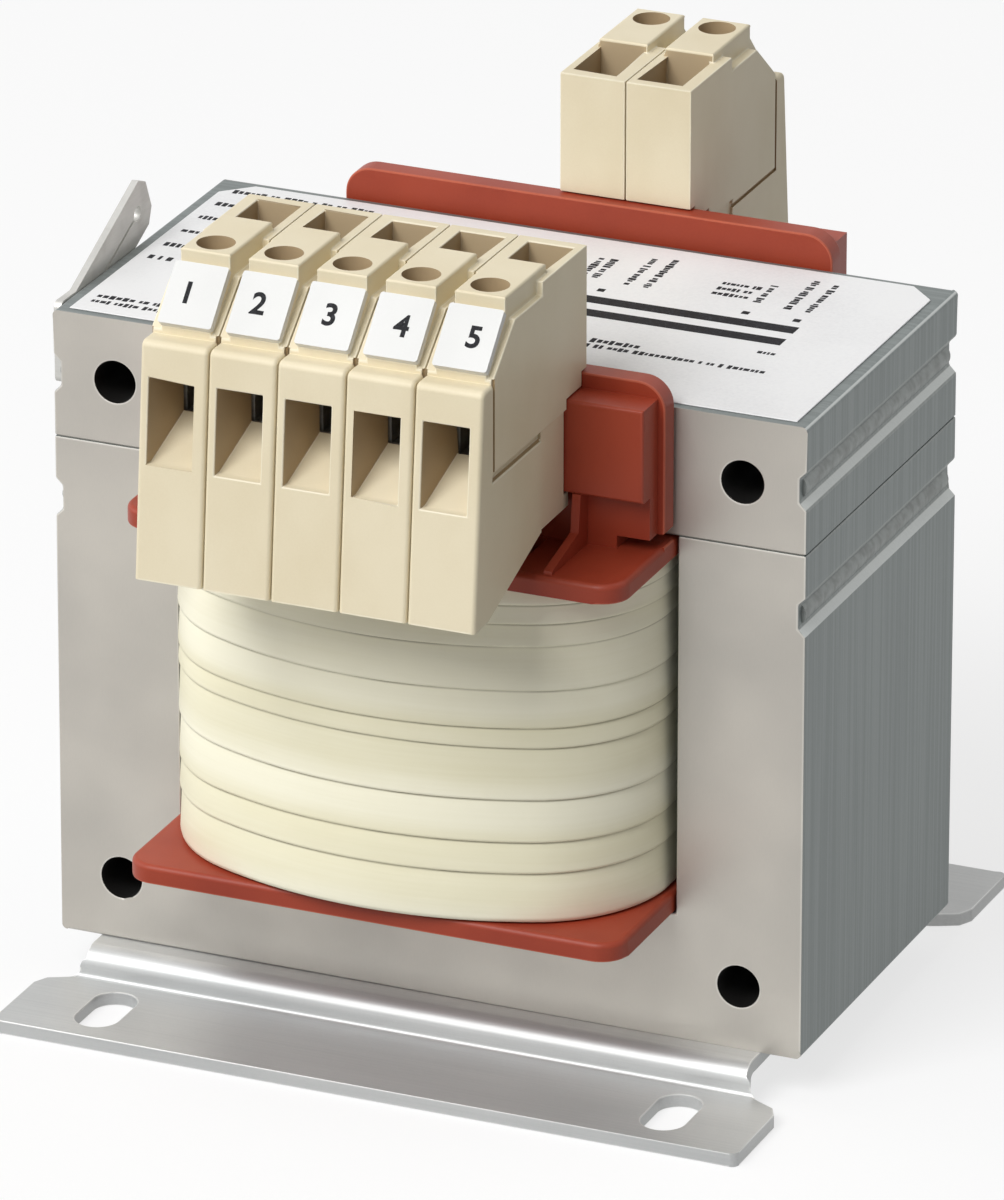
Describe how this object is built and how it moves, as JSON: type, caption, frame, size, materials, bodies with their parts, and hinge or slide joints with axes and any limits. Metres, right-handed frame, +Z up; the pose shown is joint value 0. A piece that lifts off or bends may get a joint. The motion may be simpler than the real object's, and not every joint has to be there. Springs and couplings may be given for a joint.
{
  "type": "control transformer",
  "caption": "Open-frame panel-mount control transformer with a laminated core, red bobbin, taped coil, beige screw terminals and slotted sheet feet.",
  "frame": {"origin": "centre of the four foot slots, on the plane that the feet stand on", "axes": "+X to the right seen from the front terminals, +Y to the back, +Z up from the mounting panel"},
  "size_m": [0.0848, 0.1032, 0.0926],
  "materials": {
    "core_steel": "matt grey, laminated sheet edges",
    "weld_steel": "dull weld seam",
    "foot_steel": "satin zinc-plated sheet",
    "bobbin_plastic": "brick red moulding, satin",
    "terminal_plastic": "cream beige moulding, satin",
    "marker_plastic": "white, satin",
    "coil_tape": "cream adhesive tape, satin",
    "insulation_film": "pale film",
    "label_sheet": "white coated label",
    "winding_copper": "enamelled copper",
    "current_brass": "tinned",
    "clamp_steel": "zinc-plated",
    "screw_steel": "zinc-plated",
    "tag_metal": "tinned, satin"
  },
  "bodies": {
    "root": {"e_lamination_stack": "core_steel", "i_lamination_stack": "core_steel", "core_weld_beads": "weld_steel", "winding_bobbin": "bobbin_plastic", "primary_winding": "winding_copper", "interwinding_insulation": "insulation_film", "secondary_winding": "winding_copper", "outer_tape_wrap": "coil_tape", "front_mounting_foot": "foot_steel", "rear_mounting_foot": "foot_steel", "rating_label": "label_sheet", "earth_tag": "tag_metal", "front_terminal_housing_1": "terminal_plastic", "front_clamp_cage_1": "clamp_steel", "front_current_bar_1": "current_brass", "front_lead_1": "winding_copper", "front_terminal_housing_2": "terminal_plastic", "front_clamp_cage_2": "clamp_steel", "front_current_bar_2": "current_brass", "front_lead_2": "winding_copper", "front_terminal_housing_3": "terminal_plastic", "front_clamp_cage_3": "clamp_steel", "front_current_bar_3": "current_brass", "front_lead_3": "winding_copper", "front_terminal_housing_4": "terminal_plastic", "front_clamp_cage_4": "clamp_steel", "front_current_bar_4": "current_brass", "front_lead_4": "winding_copper", "front_terminal_housing_5": "terminal_plastic", "front_clamp_cage_5": "clamp_steel", "front_current_bar_5": "current_brass", "front_lead_5": "winding_copper", "rear_terminal_housing_1": "terminal_plastic", "rear_clamp_cage_1": "clamp_steel", "rear_current_bar_1": "current_brass", "rear_lead_1": "winding_copper", "rear_terminal_housing_2": "terminal_plastic", "rear_clamp_cage_2": "clamp_steel", "rear_current_bar_2": "current_brass", "rear_lead_2": "winding_copper", "clamp_screws": "screw_steel", "number_tag_1": "marker_plastic", "number_tag_2": "marker_plastic", "number_tag_3": "marker_plastic", "number_tag_4": "marker_plastic", "number_tag_5": "marker_plastic"}
  },
  "joints": []
}
